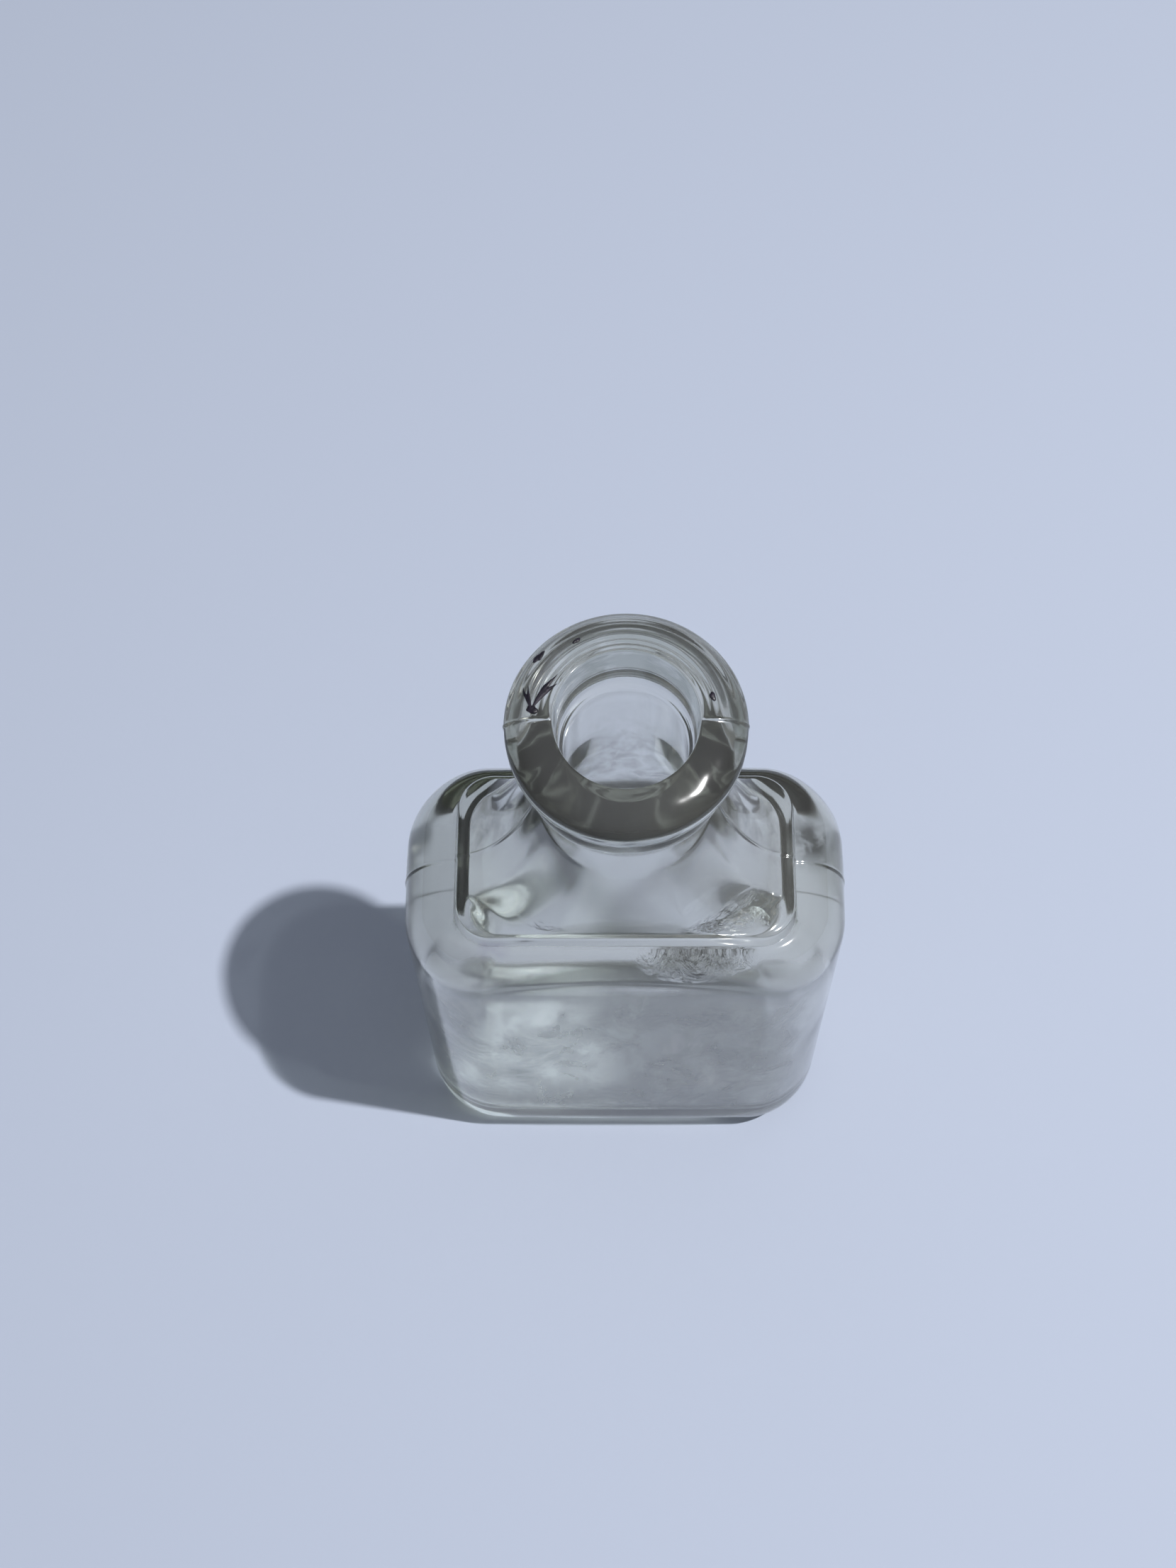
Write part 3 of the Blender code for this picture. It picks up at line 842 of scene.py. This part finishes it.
def crinkled(tree, place, mask, depth, fineness, normal):
    """Normal that is crinkled where the mask is."""
    crinkles = tree.nodes.new("ShaderNodeTexNoise")
    crinkles.inputs["Scale"].default_value = fineness
    crinkles.inputs["Detail"].default_value = CRINKLE_DETAIL
    crinkles.inputs["Distortion"].default_value = CRINKLE_DISTORTION
    tree.links.new(place.vector, crinkles.inputs["Vector"])
    return bumped(tree, product(tree, mask, crinkles.outputs["Fac"]), depth, normal=normal)


def lamp_shade(tree, place):
    """How much the skin keeps of the lamp's light: most at the side and back walls, the neck and the lip."""
    from_floor = maths(tree, "MULTIPLY_ADD", place.inside, -FLOOR_LIFT, place.z)
    walls = product(tree, spread(tree, from_floor, *WALL_FROM), spread(tree, place.z, *WALL_TO))
    wall = product(tree, walls, spread(tree, place.y, *FRONT_WALL))
    neck = product(tree, spread(tree, place.z, *NECK_FROM), NECK_SHADE)
    return maths(tree, "MAXIMUM", wall, neck)


def glass_material(settings):
    """Clear olive glass, with film, residue and a band of painted shade inside, and a stain and painted shade
    outside.
    """
    material = bpy.data.materials.new("moulded_glass")
    material.use_nodes = True
    tree = material.node_tree
    shader = tree.nodes["Principled BSDF"]
    output = tree.nodes["Material Output"]
    shader.inputs["IOR"].default_value = GLASS_IOR
    shader.inputs["Transmission Weight"].default_value = GLASS_CLARITY

    place = SkinPlace(tree)
    dirt = film_mask(tree, place)
    layers = (
        (dirt, settings.film),
        # Painted shade in a band inside the front shoulder
        (arch_shade_mask(tree, place), settings.arch_shade),
        (crumb_mask(tree, place), settings.crumbs),
        # Painted shade: streaks in the groove under the lip
        (under_lip_shade_mask(tree, place), settings.under_lip_shade),
        (stain_and_shade_mask(tree, place, *PURPLE_STAIN), settings.purple),
        # Painted shade: a dark patch on the right shoulder
        (stain_and_shade_mask(tree, place, *RIGHT_SHOULDER_SHADE), settings.right_shoulder_shade),
    )
    colour = settings.surface
    for mask, layer in layers:
        colour = blend_colour(tree, mask, colour, layer)
    tree.links.new(colour, shader.inputs["Base Color"])

    normal = bumped(tree, dirt, FILM_DEPTH, FILM_RELIEF)
    for spot, reach in CRIZZLES:
        crizzle = crinkle_mask(tree, place, place.inside, CRIZZLE_COVER, spot, reach)
        normal = crinkled(tree, place, crizzle, CRIZZLE_DEPTH, CRIZZLE_FINENESS, normal)
    glitter = crinkle_mask(tree, place, place.outside, GLITTER_COVER, *GLITTER)
    normal = crinkled(tree, place, glitter, GLITTER_DEPTH, GLITTER_FINENESS, normal)
    tree.links.new(normal, shader.inputs["Normal"])
    dull = maths(tree, "MAXIMUM", dirt, glitter)
    rough = maths(tree, "MULTIPLY_ADD", dull, settings.film_roughness, settings.polish)
    tree.links.new(rough, shader.inputs["Roughness"])

    absorb = tree.nodes.new("ShaderNodeVolumeAbsorption")
    absorb.inputs["Color"].default_value = (*settings.tint, 1.0)
    absorb.inputs["Density"].default_value = settings.depth_of_tint
    tree.links.new(absorb.outputs["Volume"], output.inputs["Volume"])

    path = tree.nodes.new("ShaderNodeLightPath")
    clear = tree.nodes.new("ShaderNodeBsdfTransparent")
    passing = blend_colour(tree, lamp_shade(tree, place), settings.lit, settings.shadow)
    tree.links.new(passing, clear.inputs["Color"])
    both = tree.nodes.new("ShaderNodeMixShader")
    tree.links.new(path.outputs["Is Shadow Ray"], both.inputs["Fac"])
    tree.links.new(shader.outputs["BSDF"], both.inputs[1])
    tree.links.new(clear.outputs["BSDF"], both.inputs[2])
    tree.links.new(both.outputs["Shader"], output.inputs["Surface"])
    return material


class INKBOTTLE_PG_ink(bpy.types.PropertyGroup):
    """Places and colours of the dried ink."""

    clearance: FloatProperty(
        name="Clearance", description="Gap between the ink and the glass", default=0.00006, unit="LENGTH")
    dark: FloatVectorProperty(
        name="Dark ink", description="Colour of thick ink", subtype="COLOR",
        default=(0.007, 0.005, 0.011), min=0.0, max=1.0)
    pale: FloatVectorProperty(
        name="Pale ink", description="Colour of thin, dusty ink", subtype="COLOR",
        default=(0.030, 0.022, 0.040), min=0.0, max=1.0)


INK_HALF_THICK = 0.00013
INK_RINGS = 7
# Ragged edge: mean share of the reach, its spread, its fineness per metre, and how the drops differ
RAGGED_MEAN = 0.92
RAGGED_SPREAD = 0.60
RAGGED_FINENESS = 2200.0
RAGGED_CHANGE = 10.0
# Turn over the lip's crown, in radians, that is as long as the crown's chord
CHORD_TURN = 1.3
# Name, place round the lip, place over its top, half length and half width
FLECKS = (
    ("left", math.radians(141.5), math.radians(40.0), 0.00075, 0.00042),
    ("back", math.radians(120.5), math.radians(61.0), 0.00055, 0.00024),
    ("right", math.radians(15.5), math.radians(73.0), 0.00050, 0.00026),
)
FLECK_AROUND = 28
# The crust forks from one place: each run's direction, half spread and length
CRUST_PLACE = (math.radians(174.0), math.radians(66.0))
CRUST_MIDDLE = 0.00050
CRUST_RUNS = (
    (math.radians(165.0), math.radians(8.0), 0.0060),
    (math.radians(205.0), math.radians(14.0), 0.0031),
)
CRUST_AROUND = 120
# Dust on the ink: fineness and cover of its patches, and the roughness of clean ink and what dust adds
DUST_PATCHES = (1400.0, 0.42)
INK_ROUGHNESS = 0.38
DUST_ROUGHNESS = 0.30
# Fine cracks: fineness per metre, depth and strength
CRACK_FINENESS = 2200.0
CRACK_DEPTH = 0.00008
CRACK_RELIEF = 0.6


class INKBOTTLE_OT_ink(bpy.types.Operator):
    """Add the dried ink on the lip"""

    bl_idname = "ink_bottle.ink"
    bl_label = "Dried Ink"

    def execute(self, context):
        settings = context.scene.ink_bottle_ink
        shape = BottleShape(context.scene.ink_bottle_glass)
        material = ink_material(settings)
        crust = ink_skin(shape, settings, *CRUST_PLACE, crust_edge())
        add_ink("dried_ink_crust", crust, material, "ink_crust")
        for side, angle, turn, half_long, half_wide in FLECKS:
            skin = ink_skin(shape, settings, angle, turn, fleck_edge(half_long, half_wide))
            add_ink("dried_ink_" + side, skin, material, "ink_fleck_" + side)
        return {"FINISHED"}


def add_ink(name, skin, material, node):
    piece = add_object(name, mesh_of(name, *skin), material)
    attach(piece, "root")
    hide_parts(node)


def fleck_edge(half_long, half_wide):
    """Outline of a fleck as lengths along and across the lip."""
    spins = [2.0 * math.pi * k / FLECK_AROUND for k in range(FLECK_AROUND)]
    return [(half_long * math.cos(spin), half_wide * math.sin(spin)) for spin in spins]


def crust_edge():
    """Outline of the forked crust as lengths along and across the lip."""
    edge = []
    for k in range(CRUST_AROUND):
        spin = 2.0 * math.pi * k / CRUST_AROUND
        reach = CRUST_MIDDLE
        for direction, spread_angle, length in CRUST_RUNS:
            off = abs(spin - direction) / spread_angle
            reach = max(reach, length * math.sqrt(max(0.0, 1.0 - off * off)))
        edge.append((reach * math.cos(spin), reach * math.sin(spin)))
    return edge


def ink_skin(shape, settings, angle, turn, edge):
    """Thin crust with a ragged edge, bent to the top of the lip."""
    arc = math.hypot(shape.lip - shape.crest_radius, LIP_CROWN) / CHORD_TURN
    radius = shape.lip_surface(angle, turn)[0].xy.length

    def put(along, across, lift):
        place, out = shape.lip_surface(angle + along / radius, turn + across / arc)
        return place + out * (settings.clearance + INK_HALF_THICK + lift)

    rings = []
    for row in range(1, INK_RINGS):
        polar = math.pi * row / INK_RINGS
        ring = []
        for along, across in edge:
            seed = Vector((RAGGED_FINENESS * along, RAGGED_FINENESS * across, RAGGED_CHANGE * angle))
            ragged = RAGGED_MEAN + RAGGED_SPREAD * noise.noise(seed)
            share = ragged * math.sin(polar)
            ring.append(put(share * along, share * across, -INK_HALF_THICK * math.cos(polar)))
        rings.append(np.array(ring))
    return loft(rings, put(0.0, 0.0, -INK_HALF_THICK), put(0.0, 0.0, INK_HALF_THICK))


def ink_material(settings):
    """Purple-black dried ink, dusty in places and finely cracked."""
    material = bpy.data.materials.new("dried_ink_skin")
    material.use_nodes = True
    tree = material.node_tree
    shader = tree.nodes["Principled BSDF"]
    place = tree.nodes.new("ShaderNodeTexCoord").outputs["Object"]
    dust = patches(tree, place, *DUST_PATCHES)
    tree.links.new(blend_colour(tree, dust, settings.dark, settings.pale), shader.inputs["Base Color"])
    rough = maths(tree, "MULTIPLY_ADD", dust, DUST_ROUGHNESS, INK_ROUGHNESS)
    tree.links.new(rough, shader.inputs["Roughness"])
    cracks = tree.nodes.new("ShaderNodeTexVoronoi")
    cracks.feature = "DISTANCE_TO_EDGE"
    cracks.inputs["Scale"].default_value = CRACK_FINENESS
    tree.links.new(place, cracks.inputs["Vector"])
    normal = bumped(tree, cracks.outputs["Distance"], CRACK_DEPTH, CRACK_RELIEF)
    tree.links.new(normal, shader.inputs["Normal"])
    return material


class INKBOTTLE_PG_stage(bpy.types.PropertyGroup):
    """Floor, light and camera."""

    floor_colour: FloatVectorProperty(
        name="Floor colour", description="Colour of the plain floor", subtype="COLOR",
        default=(0.497, 0.546, 0.665), min=0.0, max=1.0)
    key_power: FloatProperty(
        name="Key light", description="Power of the lamp on the right", default=9.6, unit="POWER")
    key_size: FloatProperty(
        name="Key size", description="Width of the lamp on the right", default=0.02, unit="LENGTH")


# The lamp at the right, and the camera at the photograph's angle
KEY_AIM = Vector((0.0, 0.0, 0.05))
KEY_FROM = Vector((0.406, -0.082, 1.0)).normalized()
KEY_DISTANCE = 1.0
CAMERA_PLACE = Vector((-0.0010646, -0.0930104, 0.3019960))
CAMERA_RIGHT = Vector((0.99991515, 0.00455301, -0.01220542))
CAMERA_UP = Vector((0.00075697, 0.91504352, 0.40335442))
CAMERA_LENS = 49.075
SENSOR = 36.0
CLIP_START = 0.01
# The floor lies just under the bottle
STAGE_DROP = 0.0001
STAGE_RADIUS = 3.0
STAGE_SIDES = 64
STAGE_ROUGHNESS = 0.9
STAGE_GLOSS = 0.1
# Light of the surroundings by height: at the horizon and below, on the way up, and straight above
SKY_LOW = (0.066, 0.070, 0.077, 1.0)
SKY_MIDDLE = (0.127, 0.135, 0.148, 1.0)
SKY_MIDDLE_AT = 0.65
SKY_TOP = (0.465, 0.495, 0.545, 1.0)


class INKBOTTLE_OT_stage(bpy.types.Operator):
    """Add the floor, the soft light and the camera"""

    bl_idname = "ink_bottle.stage"
    bl_label = "Stage"

    def execute(self, context):
        settings = context.scene.ink_bottle_stage
        scene = context.scene
        scene.view_settings.view_transform = "Standard"
        add_floor(settings)
        add_lamp(settings)
        add_world(scene)
        add_camera(scene)
        return {"FINISHED"}


def add_floor(settings):
    verts = [(0.0, 0.0, -STAGE_DROP)]
    for k in range(STAGE_SIDES):
        angle = 2.0 * math.pi * k / STAGE_SIDES
        verts.append((STAGE_RADIUS * math.cos(angle), STAGE_RADIUS * math.sin(angle), -STAGE_DROP))
    faces = [(0, 1 + k, 1 + (k + 1) % STAGE_SIDES) for k in range(STAGE_SIDES)]
    mesh = mesh_of("floor", verts, faces)
    material = bpy.data.materials.new("pale_floor")
    material.use_nodes = True
    shader = material.node_tree.nodes["Principled BSDF"]
    shader.inputs["Base Color"].default_value = (*settings.floor_colour, 1.0)
    shader.inputs["Roughness"].default_value = STAGE_ROUGHNESS
    shader.inputs["Specular IOR Level"].default_value = STAGE_GLOSS
    add_object("floor", mesh, material)


def add_lamp(settings):
    lamp = bpy.data.lights.new("key_light", "AREA")
    lamp.shape = "DISK"
    lamp.size = settings.key_size
    lamp.energy = settings.key_power
    key = bpy.data.objects.new("key_light", lamp)
    bpy.context.scene.collection.objects.link(key)
    key.location = KEY_AIM + KEY_FROM * KEY_DISTANCE
    key.rotation_mode = "QUATERNION"
    key.rotation_quaternion = KEY_FROM.to_track_quat("Z", "Y")


def add_world(scene):
    world = bpy.data.worlds.new("studio")
    scene.world = world
    world.use_nodes = True
    tree = world.node_tree
    back = tree.nodes["Background"]
    place = tree.nodes.new("ShaderNodeTexCoord")
    split = tree.nodes.new("ShaderNodeSeparateXYZ")
    ramp = tree.nodes.new("ShaderNodeValToRGB")
    tree.links.new(place.outputs["Generated"], split.inputs["Vector"])
    tree.links.new(split.outputs["Z"], ramp.inputs["Fac"])
    tree.links.new(ramp.outputs["Color"], back.inputs["Color"])
    low, top = ramp.color_ramp.elements
    low.position = 0.0
    low.color = SKY_LOW
    top.position = 1.0
    top.color = SKY_TOP
    ramp.color_ramp.elements.new(SKY_MIDDLE_AT).color = SKY_MIDDLE


def add_camera(scene):
    lens = bpy.data.cameras.new("camera")
    lens.sensor_width = SENSOR
    lens.lens = CAMERA_LENS
    lens.clip_start = CLIP_START
    camera = bpy.data.objects.new("camera", lens)
    scene.collection.objects.link(camera)
    back = CAMERA_RIGHT.cross(CAMERA_UP)
    turn = Matrix((CAMERA_RIGHT, CAMERA_UP, back)).transposed()
    camera.matrix_world = Matrix.Translation(CAMERA_PLACE) @ turn.to_4x4()
    scene.camera = camera


class INKBOTTLE_PT_sidebar(bpy.types.Panel):
    """Buttons that make the bottle and its stage"""

    bl_idname = "INKBOTTLE_PT_sidebar"
    bl_label = "Ink Bottle"
    bl_space_type = "VIEW_3D"
    bl_region_type = "UI"
    bl_category = "Ink Bottle"

    def draw(self, context):
        for maker in (INKBOTTLE_OT_glass, INKBOTTLE_OT_ink, INKBOTTLE_OT_stage):
            self.layout.operator(maker.bl_idname)


CLASSES = (
    INKBOTTLE_PG_glass,
    INKBOTTLE_PG_ink,
    INKBOTTLE_PG_stage,
    INKBOTTLE_OT_glass,
    INKBOTTLE_OT_ink,
    INKBOTTLE_OT_stage,
    INKBOTTLE_PT_sidebar,
)


def register():
    for item in CLASSES:
        bpy.utils.register_class(item)
    bpy.types.Scene.ink_bottle_glass = PointerProperty(type=INKBOTTLE_PG_glass)
    bpy.types.Scene.ink_bottle_ink = PointerProperty(type=INKBOTTLE_PG_ink)
    bpy.types.Scene.ink_bottle_stage = PointerProperty(type=INKBOTTLE_PG_stage)


def unregister():
    del bpy.types.Scene.ink_bottle_stage
    del bpy.types.Scene.ink_bottle_ink
    del bpy.types.Scene.ink_bottle_glass
    for item in reversed(CLASSES):
        bpy.utils.unregister_class(item)


def main():
    register()
    bpy.ops.ink_bottle.glass()
    bpy.ops.ink_bottle.ink()
    bpy.ops.ink_bottle.stage()


if __name__ == "__main__":
    main()
